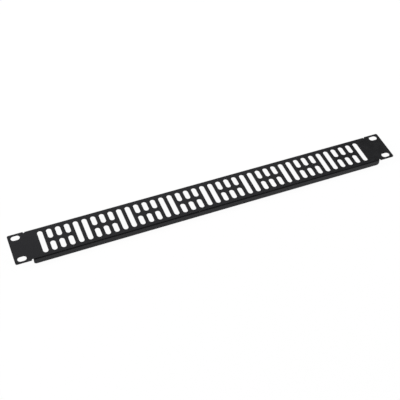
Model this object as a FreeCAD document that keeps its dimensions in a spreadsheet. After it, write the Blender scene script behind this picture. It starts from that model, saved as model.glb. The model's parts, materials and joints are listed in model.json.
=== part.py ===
import FreeCAD, Part
import math
import os

import Sketcher
from FreeCAD import Vector

# Vented blanking panel that closes one unit of a 19-inch rack.
#
# One piece of punched and folded sheet steel, lying face up.
# X runs along the panel, Y across its height in the rack, Z out of its face.
# The origin is under the middle of the face, level with the tip of the lower, deeper flange.

NODE = "blanking_panel"

# Driving dimensions in millimetres, each with what it measures.
DIMENSIONS = [
    ("sheet_thickness", 1.0, "steel sheet"),
    ("bend_inner_radius", 0.5, "inside of both folds"),
    ("lower_flange_depth", 8.0, "front of the face to the tip of the lower flange"),
    ("upper_flange_depth", 6.0, "front of the face to the tip of the upper flange"),
    ("flange_corner_radius", 3.0, "free corners of the flanges"),
    ("unit_height", 44.45, "one rack unit"),
    ("stack_gap", 0.8, "left free between panels of neighbouring units"),
    ("unit_hole_gap", 12.7, "last rack hole of a unit to the first of the next"),
    ("rack_slot_span", 465.1, "between the rack slots of the two ears"),
    ("rack_slot_length", 10.4, "along the panel, end to end"),
    ("rack_slot_width", 6.9, "across the slot"),
    ("ear_end_margin", 3.55, "metal from a rack slot to the end of the panel"),
    ("ear_inner_margin", 4.85, "metal from a rack slot to the bend reliefs"),
    ("ear_corner_radius", 2.0, "outer corners of the ears"),
    ("relief_width", 1.7, "bend relief between an ear and a flange"),
    ("relief_overrun", 0.3, "how far a bend relief runs past the fold into the flat face"),
    ("vent_width", 6.0, "across a vent slot"),
    ("vent_web", 4.5, "metal between neighbouring columns of vents"),
    ("vent_fold_margin", 3.85, "flat metal from a vent to a fold"),
    ("vent_bridge", 4.2, "metal between an upper and a lower short vent"),
    ("vent_side_margin", 9.0, "least plain face beside the vents"),
    ("short_columns", 3, "columns of short vents in a group, between its two long vents"),
    ("ear_edge_break", 0.25, "deburred front edges of the ears and their slots"),
]

# What follows from the driving dimensions, as formulas of a second sheet.
DERIVED = [
    ("outer_bend_radius", "Dimensions.bend_inner_radius + Dimensions.sheet_thickness"),
    ("face_front", "Dimensions.lower_flange_depth"),
    ("face_underside", "face_front - Dimensions.sheet_thickness"),
    ("upper_flange_tip", "face_front - Dimensions.upper_flange_depth"),
    ("panel_height", "Dimensions.unit_height - Dimensions.stack_gap"),
    ("rack_slot_rise", "Dimensions.unit_height - Dimensions.unit_hole_gap"),
    ("rack_slot_reach", "Dimensions.rack_slot_length / 2"),
    ("panel_end", "Dimensions.rack_slot_span / 2 + rack_slot_reach + Dimensions.ear_end_margin"),
    ("ear_root", "Dimensions.rack_slot_span / 2 - rack_slot_reach - Dimensions.ear_inner_margin"),
    ("flange_end", "ear_root - Dimensions.relief_width"),
    ("fold_line", "panel_height / 2 - outer_bend_radius"),
    ("relief_end", "fold_line - Dimensions.relief_overrun"),
    ("long_vent_end", "fold_line - Dimensions.vent_fold_margin"),
    ("short_vent_start", "Dimensions.vent_bridge / 2"),
    ("column_pitch", "Dimensions.vent_width + Dimensions.vent_web"),
    ("group_pitch", "(Dimensions.short_columns + 2) * column_pitch"),
    ("group_room", "2 * (flange_end - Dimensions.vent_side_margin) + Dimensions.vent_web"),
    ("group_count", "floor(group_room / group_pitch)"),
    ("first_column", "(column_pitch - group_count * group_pitch) / 2"),
]

# Picks inside a sketch: the ends and the centre of a line or an arc, the origin and the X axis.
START, END, CENTRE = 1, 2, 3
ORIGIN = (-1, START)
X_AXIS = -1

TOLERANCE = 1e-6

doc = FreeCAD.newDocument("BlankingPanel")


def fill_sheets():
    """Write the driving dimensions, and the formulas that follow from them."""
    dimensions = doc.addObject("Spreadsheet::Sheet", "Dimensions")
    for number, (alias, value, meaning) in enumerate(DIMENSIONS, start=1):
        dimensions.set(f"A{number}", alias)
        dimensions.set(f"B{number}", str(value))
        dimensions.setAlias(f"B{number}", alias)
        dimensions.set(f"C{number}", meaning)
    derived = doc.addObject("Spreadsheet::Sheet", "Derived")
    for number, (alias, formula) in enumerate(DERIVED, start=1):
        derived.set(f"A{number}", alias)
        derived.set(f"B{number}", "=" + formula)
        derived.setAlias(f"B{number}", alias)
    doc.recompute()
    return dimensions, derived


def origin_feature(body, role):
    """Return the origin plane or axis of a body that has this role."""
    return next(item for item in body.Origin.OriginFeatures if item.Role == role)


def line(start, end):
    """Return a straight segment between two (x, y) places of a sketch."""
    return Part.LineSegment(Vector(*start, 0), Vector(*end, 0))


def arc(centre, radius, first, last):
    """Return an anticlockwise arc about an (x, y) centre, its two angles in quarter turns."""
    circle = Part.Circle(Vector(*centre, 0), Vector(0, 0, 1), radius)
    return Part.ArcOfCircle(circle, first * math.pi / 2, last * math.pi / 2)


def new_sketch(body, name, plane, height=None):
    """Attach a sketch to an origin plane, raised by a formula where one is given."""
    sketch = body.newObject("Sketcher::SketchObject", name)
    sketch.AttachmentSupport = [(origin_feature(body, plane), "")]
    sketch.MapMode = "FlatFace"
    if height:
        sketch.setExpression("AttachmentOffset.Base.z", height)
    return sketch


def join(sketch, kind, pairs):
    """Join picks of lines and arcs in pairs; a pick is (item, end)."""
    for first, second in pairs:
        sketch.addConstraint(Sketcher.Constraint(kind, *first, *second))


def align(sketch, kind, items):
    """Make lines of a sketch horizontal or vertical."""
    for item in items:
        sketch.addConstraint(Sketcher.Constraint(kind, item))


def measure(sketch, name, formula, kind, *picks):
    """Add a dimension to a sketch and bind it to a formula of the sheets."""
    value = float(sketch.evalExpression(formula))
    index = sketch.addConstraint(Sketcher.Constraint(kind, *picks, value))
    sketch.renameConstraint(index, name)
    sketch.setExpression("Constraints." + name, formula)


def draw_channel_section(body, dimensions, derived):
    """Draw the folded section of face, two bends and two flanges as one closed outline."""
    sketch = new_sketch(body, "ChannelSection", "YZ_Plane")
    side = derived.panel_height / 2
    fold = derived.fold_line
    top = derived.face_front
    tip = derived.upper_flange_tip
    thick = dimensions.sheet_thickness
    inner = dimensions.bend_inner_radius
    outer = derived.outer_bend_radius
    bend = top - outer
    sketch.addGeometry([
        line((-side, 0), (-side, bend)),
        arc((-fold, bend), outer, 1, 2),
        line((-fold, top), (fold, top)),
        arc((fold, bend), outer, 0, 1),
        line((side, bend), (side, tip)),
        line((side, tip), (side - thick, tip)),
        line((side - thick, tip), (side - thick, bend)),
        arc((fold, bend), inner, 0, 1),
        line((fold, top - thick), (-fold, top - thick)),
        arc((-fold, bend), inner, 1, 2),
        line((thick - side, bend), (thick - side, 0)),
        line((thick - side, 0), (-side, 0)),
    ])
    join(sketch, "Tangent", [
        ((0, END), (1, END)), ((1, START), (2, START)),
        ((2, END), (3, END)), ((3, START), (4, START)),
        ((6, END), (7, START)), ((7, END), (8, START)),
        ((8, END), (9, START)), ((9, END), (10, START)),
    ])
    join(sketch, "Coincident", [
        ((4, END), (5, START)), ((5, END), (6, START)),
        ((10, END), (11, START)), ((11, END), (0, START)),
        ((1, CENTRE), (9, CENTRE)), ((3, CENTRE), (7, CENTRE)),
    ])
    align(sketch, "Vertical", [0, 4, 6, 10])
    align(sketch, "Horizontal", [2, 5, 8, 11])
    sketch.addConstraint(Sketcher.Constraint("Equal", 7, 9))
    sketch.addConstraint(Sketcher.Constraint("PointOnObject", 0, START, X_AXIS))
    measure(sketch, "inner_radius", "Dimensions.bend_inner_radius", "Radius", 7)
    measure(sketch, "thickness", "Dimensions.sheet_thickness", "DistanceX", 5, END, 5, START)
    measure(sketch, "lower_depth", "Dimensions.lower_flange_depth", "DistanceY", 0, START, 2, START)
    measure(sketch, "upper_depth", "Dimensions.upper_flange_depth", "DistanceY", 4, END, 2, END)
    measure(sketch, "upper_side", "Derived.panel_height / 2", "DistanceX", *ORIGIN, 4, END)
    measure(sketch, "lower_side", "Derived.panel_height / 2", "DistanceX", 0, START, *ORIGIN)
    return sketch


def draw_ear(body, dimensions, derived):
    """Draw a flat ear, from the ends of the flanges past two square bend reliefs to the panel's end."""
    sketch = new_sketch(body, "EarOutline", "XY_Plane", "Derived.face_underside")
    side = derived.panel_height / 2
    notch = derived.relief_end
    inner = derived.flange_end
    root = derived.ear_root
    end = derived.panel_end
    corner = dimensions.ear_corner_radius
    sketch.addGeometry([
        line((inner, notch), (inner, -notch)),
        line((inner, -notch), (root, -notch)),
        line((root, -notch), (root, -side)),
        line((root, -side), (end - corner, -side)),
        arc((end - corner, corner - side), corner, 3, 4),
        line((end, corner - side), (end, side - corner)),
        arc((end - corner, side - corner), corner, 0, 1),
        line((end - corner, side), (root, side)),
        line((root, side), (root, notch)),
        line((root, notch), (inner, notch)),
    ])
    join(sketch, "Tangent", [
        ((3, END), (4, START)), ((4, END), (5, START)),
        ((5, END), (6, START)), ((6, END), (7, START)),
    ])
    join(sketch, "Coincident", [
        ((0, END), (1, START)), ((1, END), (2, START)), ((2, END), (3, START)),
        ((7, END), (8, START)), ((8, END), (9, START)), ((9, END), (0, START)),
    ])
    align(sketch, "Vertical", [0, 2, 5, 8])
    align(sketch, "Horizontal", [1, 3, 7, 9])
    sketch.addConstraint(Sketcher.Constraint("Equal", 4, 6))
    sketch.addConstraint(Sketcher.Constraint("Equal", 1, 9))
    measure(sketch, "corner", "Dimensions.ear_corner_radius", "Radius", 4)
    measure(sketch, "flange_end", "Derived.flange_end", "DistanceX", *ORIGIN, 0, START)
    measure(sketch, "relief", "Dimensions.relief_width", "DistanceX", 1, START, 1, END)
    measure(sketch, "panel_end", "Derived.panel_end", "DistanceX", *ORIGIN, 5, START)
    measure(sketch, "upper_relief", "Derived.relief_end", "DistanceY", *ORIGIN, 0, START)
    measure(sketch, "lower_relief", "Derived.relief_end", "DistanceY", 0, END, *ORIGIN)
    measure(sketch, "upper_side", "Derived.panel_height / 2", "DistanceY", *ORIGIN, 7, END)
    measure(sketch, "lower_side", "Derived.panel_height / 2", "DistanceY", 3, START, *ORIGIN)
    return sketch


def draw_slot(body, name, upright, middle, start, end, width):
    """Draw a slot with round ends on the face of the panel, all its sizes as formulas.

    An upright slot runs along Y, at the X of its middle line, and a level one the other way.
    """
    sketch = new_sketch(body, name, "XY_Plane", "Derived.face_front")
    radius = sketch.evalExpression(f"{width} / 2")
    first_end = f"{start} + {width} / 2"
    last_end = f"{end} - {width} / 2"
    low = sketch.evalExpression(first_end)
    high = sketch.evalExpression(last_end)
    across = sketch.evalExpression(middle)
    if upright:
        sketch.addGeometry([
            arc((across, high), radius, 0, 2),
            line((across - radius, high), (across - radius, low)),
            arc((across, low), radius, 2, 4),
            line((across + radius, low), (across + radius, high)),
        ])
    else:
        sketch.addGeometry([
            arc((high, across), radius, -1, 1),
            line((high, across + radius), (low, across + radius)),
            arc((low, across), radius, 1, 3),
            line((low, across - radius), (high, across - radius)),
        ])
    join(sketch, "Tangent", [
        ((0, END), (1, START)), ((1, END), (2, START)),
        ((2, END), (3, START)), ((3, END), (0, START)),
    ])
    run, aside = ("DistanceY", "DistanceX") if upright else ("DistanceX", "DistanceY")
    align(sketch, "Vertical" if upright else "Horizontal", [1])
    sketch.addConstraint(Sketcher.Constraint("Equal", 0, 2))
    measure(sketch, "radius", f"{width} / 2", "Radius", 2)
    measure(sketch, "middle", middle, aside, *ORIGIN, 2, CENTRE)
    measure(sketch, "first_end", first_end, run, *ORIGIN, 2, CENTRE)
    measure(sketch, "last_end", last_end, run, *ORIGIN, 0, CENTRE)
    return sketch


def pad(body, name, sketch, length, side="One side"):
    """Pad a closed sketch by a formula."""
    feature = body.newObject("PartDesign::Pad", name)
    feature.Profile = sketch
    feature.SideType = side
    feature.setExpression("Length", length)
    return feature


def mirror(body, name, plane):
    """Return a mirror about an origin plane of the body."""
    feature = body.newObject("PartDesign::Mirrored", name)
    feature.MirrorPlane = (origin_feature(body, plane), [""])
    return feature


def row(body, name, spacing, count):
    """Return a pattern of copies along X, with formulas for spacing and count."""
    feature = body.newObject("PartDesign::LinearPattern", name)
    feature.Direction = (origin_feature(body, "X_Axis"), [""])
    feature.Mode = "Spacing"
    feature.setExpression("Offset", spacing)
    feature.setExpression("Occurrences", count)
    return feature


def punch(body, name, sketch, *transformations):
    """Punch a slot through the sheet and repeat it by patterns and mirrors, one after the other.

    A transformation is a maker, mirror or row, with its arguments after the body.
    """
    before = body.Shape.Volume
    hole = body.newObject("PartDesign::Pocket", name + "Hole")
    hole.Profile = sketch
    hole.setExpression("Length", "Dimensions.sheet_thickness")
    doc.recompute()
    if hole.Shape.Volume >= before:
        raise RuntimeError(f"{name} removes no metal")
    holes = body.newObject("PartDesign::MultiTransform", name + "s")
    holes.Originals = [hole]
    holes.Transformations = [make(body, *arguments) for make, *arguments in transformations]
    body.Tip = holes
    doc.recompute()
    return holes


def edge_names(shape, test):
    """Return the names of the edges of a shape that pass a test."""
    return [f"Edge{number}" for number, edge in enumerate(shape.Edges, start=1) if test(edge)]


def fold_sheet(body, dimensions, derived):
    """Fold the channel and add the two flat ears."""
    section = draw_channel_section(body, dimensions, derived)
    pad(body, "Channel", section, "2 * Derived.flange_end", side="Symmetric")
    doc.recompute()
    ear = pad(body, "Ear", draw_ear(body, dimensions, derived), "Dimensions.sheet_thickness")
    doc.recompute()
    ears = mirror(body, "Ears", "YZ_Plane")
    ears.Originals = [ear]
    body.Tip = ears
    doc.recompute()
    return ears


def round_flange_corners(body, base, derived):
    """Round the two free corners of each flange."""
    end = derived.flange_end
    # The lower flange ends at Z 0, and the upper one above or below it.
    higher_tip = max(derived.upper_flange_tip, 0)

    def at_free_corner(edge):
        box = edge.BoundBox
        at_end = box.XLength < TOLERANCE and abs(abs(box.XMin) - end) < TOLERANCE
        return at_end and box.ZMax < higher_tip + TOLERANCE

    corners = body.newObject("PartDesign::Fillet", "FlangeCorners")
    corners.Base = (base, edge_names(base.Shape, at_free_corner))
    corners.setExpression("Radius", "Dimensions.flange_corner_radius")
    doc.recompute()
    return corners


def punch_vents(body):
    """Punch the groups of vents: a long column at each end, short ones in pairs between."""
    width = "Dimensions.vent_width"
    groups = ("Derived.group_pitch", "Derived.group_count")
    long_vent = draw_slot(
        body, "LongVent", True, "Derived.first_column",
        "-Derived.long_vent_end", "Derived.long_vent_end", width,
    )
    group_ends = ("(Dimensions.short_columns + 1) * Derived.column_pitch", "2")
    punch(
        body, "LongVent", long_vent,
        (row, "LongColumns", *group_ends),
        (row, "LongGroups", *groups),
    )
    short_vent = draw_slot(
        body, "ShortVent", True, "Derived.first_column + Derived.column_pitch",
        "Derived.short_vent_start", "Derived.long_vent_end", width,
    )
    punch(
        body, "ShortVent", short_vent,
        (mirror, "LowerVents", "XZ_Plane"),
        (row, "ShortColumns", "Derived.column_pitch", "Dimensions.short_columns"),
        (row, "ShortGroups", *groups),
    )


def punch_rack_slots(body):
    """Punch the four level slots that take the rack screws."""
    middle = "Dimensions.rack_slot_span / 2"
    slot = draw_slot(
        body, "RackSlot", False, "Derived.rack_slot_rise / 2",
        f"{middle} - Derived.rack_slot_reach", f"{middle} + Derived.rack_slot_reach",
        "Dimensions.rack_slot_width",
    )
    return punch(
        body, "RackSlot", slot,
        (mirror, "OtherEar", "YZ_Plane"),
        (mirror, "OtherSide", "XZ_Plane"),
    )


def deburr_ears(body, base, derived):
    """Break the front edges of the ears, round their outline and round their slots."""
    top = derived.face_front
    root = derived.ear_root

    def on_ear_front(edge):
        box = edge.BoundBox
        near, far = sorted((abs(box.XMin), abs(box.XMax)))
        return box.ZMin > top - TOLERANCE and near > root - TOLERANCE and far > root + TOLERANCE

    edges = body.newObject("PartDesign::Chamfer", "EarEdges")
    edges.Base = (base, edge_names(base.Shape, on_ear_front))
    edges.setExpression("Size", "Dimensions.ear_edge_break")
    doc.recompute()
    return edges


def check(body):
    """Stop with a plain message if any object failed or the panel isn't one valid solid."""
    for item in doc.Objects:
        if "Invalid" in item.State or "Error" in item.State:
            raise RuntimeError(f"{item.Name} failed: {item.State}")
    if body.Shape.isNull() or not body.Shape.isValid() or len(body.Shape.Solids) != 1:
        raise RuntimeError(f"{body.Label} is not one valid solid")


def build_panel():
    """Build the blanking panel as one body."""
    dimensions, derived = fill_sheets()
    body = doc.addObject("PartDesign::Body", "BlankingPanel")
    body.Label = NODE
    body.Placement = FreeCAD.Placement(Vector(0, 0, 0), FreeCAD.Rotation())
    sheet = fold_sheet(body, dimensions, derived)
    round_flange_corners(body, sheet, derived)
    punch_vents(body)
    punched = punch_rack_slots(body)
    deburr_ears(body, punched, derived)
    return body


panel = build_panel()
check(panel)
os.makedirs("parts", exist_ok=True)
panel.Shape.exportStep(f"parts/{panel.Label}.step")
print(f"{panel.Label}: {panel.Shape.Volume:.1f} mm3, {len(panel.Shape.Faces)} faces")
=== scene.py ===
"""Looks of a vented rack blanking panel: black powder coat on folded steel, on a white studio floor."""

import json
import logging
import math
from dataclasses import dataclass, field
from enum import Enum
from typing import Any

import bmesh
import bpy
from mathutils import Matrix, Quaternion, Vector

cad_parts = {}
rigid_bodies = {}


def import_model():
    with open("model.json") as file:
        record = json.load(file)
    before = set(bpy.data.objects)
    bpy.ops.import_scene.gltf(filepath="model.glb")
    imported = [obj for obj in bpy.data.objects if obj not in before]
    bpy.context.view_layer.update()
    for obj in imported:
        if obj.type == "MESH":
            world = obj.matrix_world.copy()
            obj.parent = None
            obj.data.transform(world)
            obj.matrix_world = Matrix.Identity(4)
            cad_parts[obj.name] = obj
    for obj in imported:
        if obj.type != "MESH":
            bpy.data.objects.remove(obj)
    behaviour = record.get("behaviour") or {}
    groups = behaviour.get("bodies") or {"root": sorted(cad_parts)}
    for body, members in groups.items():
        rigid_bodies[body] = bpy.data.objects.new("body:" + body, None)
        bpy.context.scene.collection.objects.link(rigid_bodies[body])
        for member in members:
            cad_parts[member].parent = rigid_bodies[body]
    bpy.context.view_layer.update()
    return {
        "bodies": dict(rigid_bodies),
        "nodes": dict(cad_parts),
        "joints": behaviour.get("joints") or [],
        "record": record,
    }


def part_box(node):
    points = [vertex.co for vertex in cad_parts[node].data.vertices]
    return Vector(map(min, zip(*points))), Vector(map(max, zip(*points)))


LOG = logging.getLogger("blanking_panel")
MM = 0.001


class BackgroundRay(Enum):
    """Kinds of ray that see the studio as a plain white background."""

    CAMERA = "Is Camera Ray"
    GLOSSY = "Is Glossy Ray"
    TRANSMISSION = "Is Transmission Ray"


def linear(hex_colour: str) -> tuple[float, float, float, float]:
    """Turns an sRGB colour into the linear one that a shader socket holds.

    Args:
        hex_colour: Six hex digits, red first, after a hash sign.

    Returns:
        Linear red, green and blue, and an alpha of one.
    """
    digits = hex_colour.lstrip("#")
    channels = [int(digits[start:start + 2], 16) / 255 for start in (0, 2, 4)]
    curved = [c / 12.92 if c <= 0.04045 else ((c + 0.055) / 1.055) ** 2.4 for c in channels]
    return (curved[0], curved[1], curved[2], 1.0)


def add_node(
    tree: bpy.types.NodeTree, kind: str, inputs: dict[str | int, Any] | None = None, **settings: Any
) -> bpy.types.Node:
    """Adds one shader node with its settings and links.

    Args:
        tree: Node tree that takes the node.
        kind: Blender's type name of the node.
        inputs: Socket name or number, against a plain value or the output socket that feeds it.
        settings: Attributes of the node, such as operation or data_type.

    Returns:
        The new node.
    """
    node = tree.nodes.new(kind)
    for name, value in settings.items():
        setattr(node, name, value)
    for socket, value in (inputs or {}).items():
        if isinstance(value, bpy.types.NodeSocket):
            tree.links.new(value, node.inputs[socket])
        else:
            node.inputs[socket].default_value = value
    return node


def new_material(name: str) -> tuple[bpy.types.Material, bpy.types.NodeTree]:
    """Makes a material with an empty node tree.

    Args:
        name: Name of the finish.

    Returns:
        The material and its node tree.
    """
    material = bpy.data.materials.new(name)
    material.use_nodes = True
    material.node_tree.nodes.clear()
    return material, material.node_tree


@dataclass(frozen=True)
class BlackPowderCoat:
    """Polyester powder coat, sprayed dry on steel and baked: black and satin, with fine orange peel."""

    name: str = "black_powder_coat"
    # Carbon black pigment in clear polyester: nearly no colour of its own, a trace of blue.
    pigment: str = "#171718"
    thin_pigment: str = "#1A1A1B"
    resin_ior: float = 1.5
    # Fine powder leaves a matt bloom on the resin, which dims its mirror and makes it a little cold.
    specular_level: float = 0.2
    bloom_tint: str = "#F4F4FF"
    roughness: float = 0.31
    roughness_swing: float = 0.04
    # Orange peel: the melted powder levels into waves a millimetre or two apart and a few
    # thousandths of a millimetre high. Real ones are too fine to show, so they are drawn deeper.
    peel_spacing_mm: float = 2.0
    peel_height_mm: float = 0.04
    peel_detail: float = 2.0
    # Film build varies slowly along the sheet as the gun passes over it.
    drift_spacing_mm: float = 9.0
    drift_detail: float = 3.0
    # Part of the drift's noise that swings the gloss from one end to the other.
    drift_low: float = 0.3
    drift_high: float = 0.7

    def build(self) -> bpy.types.Material:
        """Makes the material.

        Returns:
            The powder coat, patterned in the part's own coordinates.
        """
        material, tree = new_material(self.name)
        place = add_node(tree, "ShaderNodeTexCoord").outputs["Object"]
        drift = add_node(
            tree,
            "ShaderNodeTexNoise",
            {"Vector": place, "Scale": 1 / (self.drift_spacing_mm * MM), "Detail": self.drift_detail},
        ).outputs["Fac"]
        peel = add_node(
            tree,
            "ShaderNodeTexNoise",
            {"Vector": place, "Scale": 1 / (self.peel_spacing_mm * MM), "Detail": self.peel_detail},
        ).outputs["Fac"]
        colour = add_node(
            tree,
            "ShaderNodeMix",
            # Colours of a Mix node go by place, because its number sockets share their names.
            {0: drift, 6: linear(self.pigment), 7: linear(self.thin_pigment)},
            data_type="RGBA",
        )
        roughness = add_node(
            tree,
            "ShaderNodeMapRange",
            {
                "Value": drift,
                "From Min": self.drift_low,
                "From Max": self.drift_high,
                "To Min": self.roughness - self.roughness_swing,
                "To Max": self.roughness + self.roughness_swing,
            },
        )
        relief = add_node(
            tree,
            "ShaderNodeBump",
            {"Height": peel, "Distance": self.peel_height_mm * MM},
        )
        coat = add_node(
            tree,
            "ShaderNodeBsdfPrincipled",
            {
                "Base Color": colour.outputs[2],
                "Roughness": roughness.outputs["Result"],
                "Normal": relief.outputs["Normal"],
                "IOR": self.resin_ior,
                "Specular IOR Level": self.specular_level,
                "Specular Tint": linear(self.bloom_tint),
            },
        )
        add_node(tree, "ShaderNodeOutputMaterial", {"Surface": coat.outputs["BSDF"]})
        return material


@dataclass(frozen=True)
class WhiteCovePaint:
    """Matt white emulsion on the studio cove: lights as paint, and shows as a bright background."""

    name: str = "white_cove_paint"
    paint: str = "#F4F4F4"
    background: str = "#FFFFFF"
    # Share of plain white in what the eye sees; the rest is lit paint, which keeps the shadow.
    white_share: float = 0.97

    def build(self) -> bpy.types.Material:
        """Makes the material.

        Returns:
            The paint, white to the rays that see a background and plain to the rest.
        """
        material, tree = new_material(self.name)
        rays = add_node(tree, "ShaderNodeLightPath").outputs
        seen = rays[BackgroundRay.CAMERA.value]
        for kind in (BackgroundRay.GLOSSY, BackgroundRay.TRANSMISSION):
            either = add_node(
                tree,
                "ShaderNodeMath",
                {0: seen, 1: rays[kind.value]},
                operation="MAXIMUM",
            )
            seen = either.outputs[0]
        share = add_node(
            tree,
            "ShaderNodeMath",
            {0: seen, 1: self.white_share},
            operation="MULTIPLY",
        )
        paint = add_node(tree, "ShaderNodeBsdfDiffuse", {"Color": linear(self.paint)})
        white = add_node(
            tree,
            "ShaderNodeEmission",
            {"Color": linear(self.background), "Strength": 1.0},
        )
        both = add_node(
            tree,
            "ShaderNodeMixShader",
            {0: share.outputs[0], 1: paint.outputs[0], 2: white.outputs[0]},
        )
        add_node(tree, "ShaderNodeOutputMaterial", {"Surface": both.outputs[0]})
        return material


@dataclass
class BlankingPanel:
    """The folded sheet itself, kept as the frame gives it, with coated edges."""

    node_name: str = "blanking_panel"
    # Corners of the mesh this near to each other are one corner.
    weld_mm: float = 0.001
    edge_round_mm: float = 0.18
    edge_steps: int = 2
    sharp_from_deg: float = 32.0
    finish: BlackPowderCoat = field(default_factory=BlackPowderCoat)

    def soften_edges(self, sheet: bpy.types.Object) -> None:
        """Rounds the punched edges, as the coat does when it flows over them.

        Args:
            sheet: The panel's mesh object.
        """
        weld = sheet.modifiers.new("closed_skin", "WELD")
        weld.merge_threshold = self.weld_mm * MM
        rounding = sheet.modifiers.new("coated_edges", "BEVEL")
        rounding.width = self.edge_round_mm * MM
        rounding.segments = self.edge_steps
        rounding.limit_method = "ANGLE"
        rounding.angle_limit = math.radians(self.sharp_from_deg)
        # The long facets of the folds keep their own normals right up to the rounded ends.
        shading = sheet.modifiers.new("flat_facets", "WEIGHTED_NORMAL")
        shading.mode = "FACE_AREA"

    def dress(self, frame: dict[str, Any]) -> bpy.types.Object:
        """Gives the panel its coat.


        Returns:
            The panel's mesh object.
        """
        sheet = frame["nodes"][self.node_name]
        sheet.data.materials.clear()
        sheet.data.materials.append(self.finish.build())
        self.soften_edges(sheet)
        return sheet


@dataclass
class StudioCove:
    """Round white floor that curves up into a low wall, so every low view meets white. In metres."""

    floor_radius: float = 8.0
    cove_radius: float = 1.0
    wall_height: float = 2.6
    sides: int = 96
    cove_steps: int = 8
    finish: WhiteCovePaint = field(default_factory=WhiteCovePaint)

    def profile(self) -> list[tuple[float, float]]:
        """Works out the section of the cove.

        Returns:
            Radius and height of each ring, from the floor's rim to the top of the wall.
        """
        turns = [math.radians(90 * step / self.cove_steps) for step in range(self.cove_steps + 1)]
        bend = [
            (
                self.floor_radius + self.cove_radius * math.sin(turn),
                self.cove_radius * (1 - math.cos(turn)),
            )
            for turn in turns
        ]
        return bend + [(self.floor_radius + self.cove_radius, self.wall_height)]

    def build(self, level: float) -> bpy.types.Object:
        """Makes the cove.

        Args:
            level: Height of the surface that the panel lies on.

        Returns:
            The cove's mesh object.
        """
        skin = bmesh.new()
        rings = []
        for radius, height in self.profile():
            ring = []
            for side in range(self.sides):
                turn = 2 * math.pi * side / self.sides
                corner = (radius * math.cos(turn), radius * math.sin(turn), level + height)
                ring.append(skin.verts.new(corner))
            rings.append(ring)
        skin.faces.new(rings[0])
        for low, high in zip(rings, rings[1:]):
            for side in range(self.sides):
                after = (side + 1) % self.sides
                skin.faces.new((low[side], low[after], high[after], high[side]))
        mesh = bpy.data.meshes.new("studio_cove")
        skin.to_mesh(mesh)
        skin.free()
        mesh.materials.append(self.finish.build())
        cove = bpy.data.objects.new("studio_cove", mesh)
        bpy.context.scene.collection.objects.link(cove)
        return cove


@dataclass(frozen=True)
class SoftBox:
    """One rectangular soft box, aimed at the panel. In metres, its place from the panel's face."""

    name: str
    place: tuple[float, float, float]
    width: float
    height: float
    # Radiance of the cloth, where one is the white of the background.
    brightness: float

    def build(self, target: Vector) -> None:
        """Makes the lamp.

        Args:
            target: Point that the box faces.
        """
        lamp = bpy.data.lights.new(self.name, "AREA")
        lamp.shape = "RECTANGLE"
        lamp.size = self.width
        lamp.size_y = self.height
        # An area lamp's power is four times its radiance times its area.
        lamp.energy = 4 * self.brightness * self.width * self.height
        box = bpy.data.objects.new(self.name, lamp)
        box.location = target + Vector(self.place)
        box.rotation_euler = (-Vector(self.place)).to_track_quat("-Z", "Y").to_euler()
        bpy.context.scene.collection.objects.link(box)


@dataclass
class Studio:
    """Plain soft light round the panel."""

    boxes: tuple[SoftBox, ...] = (
        # Two side lights: they give the plain level of light and leave the lower fold dark.
        SoftBox("left_box", (-1.5, 0.7, 0.9), 1.0, 1.0, 13.2),
        SoftBox("right_box", (1.8, 0.3, 0.5), 1.0, 1.0, 15.5),
        # Wide dim cloth behind the panel: the satin sheen on its face.
        SoftBox("back_cloth", (0.0, 1.45, 1.35), 2.1, 0.9, 0.88),
    )
    # Dim grey air, which keeps the unlit folds from going black.
    air: str = "#303030"

    def build(self, target: Vector) -> None:
        """Makes the lamps and the world.

        Args:
            target: Point that the boxes face.
        """
        for box in self.boxes:
            box.build(target)
        world = bpy.data.worlds.new("studio_air")
        world.use_nodes = True
        world.node_tree.nodes.clear()
        air = add_node(
            world.node_tree,
            "ShaderNodeBackground",
            {"Color": linear(self.air), "Strength": 1.0},
        )
        add_node(world.node_tree, "ShaderNodeOutputWorld", {"Surface": air.outputs[0]})
        bpy.context.scene.world = world


@dataclass
class StudioCamera:
    """Long lens that looks down on the panel from its lower left."""

    lens_mm: float = 76.26
    distance_mm: float = 1006.8
    azimuth_deg: float = -23.51
    elevation_deg: float = 48.01
    roll_deg: float = 2.08
    # Aim point on the face, from its middle.
    aim_right_mm: float = -14.58
    aim_up_mm: float = -4.62

    def build(self, face_middle: Vector) -> bpy.types.Object:
        """Makes the camera and gives it to the scene.

        Args:
            face_middle: Middle of the panel's face.

        Returns:
            The camera object.
        """
        azimuth, elevation = math.radians(self.azimuth_deg), math.radians(self.elevation_deg)
        back = Vector((
            math.sin(azimuth) * math.cos(elevation),
            -math.cos(azimuth) * math.cos(elevation),
            math.sin(elevation),
        ))
        aim = face_middle + Vector((self.aim_right_mm, self.aim_up_mm, 0)) * MM
        data = bpy.data.cameras.new("studio_camera")
        data.lens = self.lens_mm
        camera = bpy.data.objects.new("studio_camera", data)
        camera.location = aim + back * self.distance_mm * MM
        camera.rotation_mode = "QUATERNION"
        level = (-back).to_track_quat("-Z", "Y")
        camera.rotation_quaternion = level @ Quaternion((0, 0, 1), math.radians(self.roll_deg))
        bpy.context.scene.collection.objects.link(camera)
        bpy.context.scene.camera = camera
        return camera


def main() -> None:
    """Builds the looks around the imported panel."""
    logging.basicConfig(level=logging.INFO, format="%(name)s: %(message)s")
    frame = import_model()
    panel = BlankingPanel()
    sheet = panel.dress(frame)
    LOG.info("dressed %s in %s", sheet.name, panel.finish.name)
    low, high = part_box(panel.node_name)
    face_middle = Vector(((low.x + high.x) / 2, (low.y + high.y) / 2, high.z))
    cove = StudioCove().build(low.z)
    LOG.info("built %s", cove.name)
    studio = Studio()
    studio.build(face_middle)
    LOG.info("lit by %s", ", ".join(box.name for box in studio.boxes))
    camera = StudioCamera().build(face_middle)
    LOG.info("placed %s", camera.name)
    bpy.context.scene.view_settings.view_transform = "Standard"


if __name__ == "__main__":
    main()
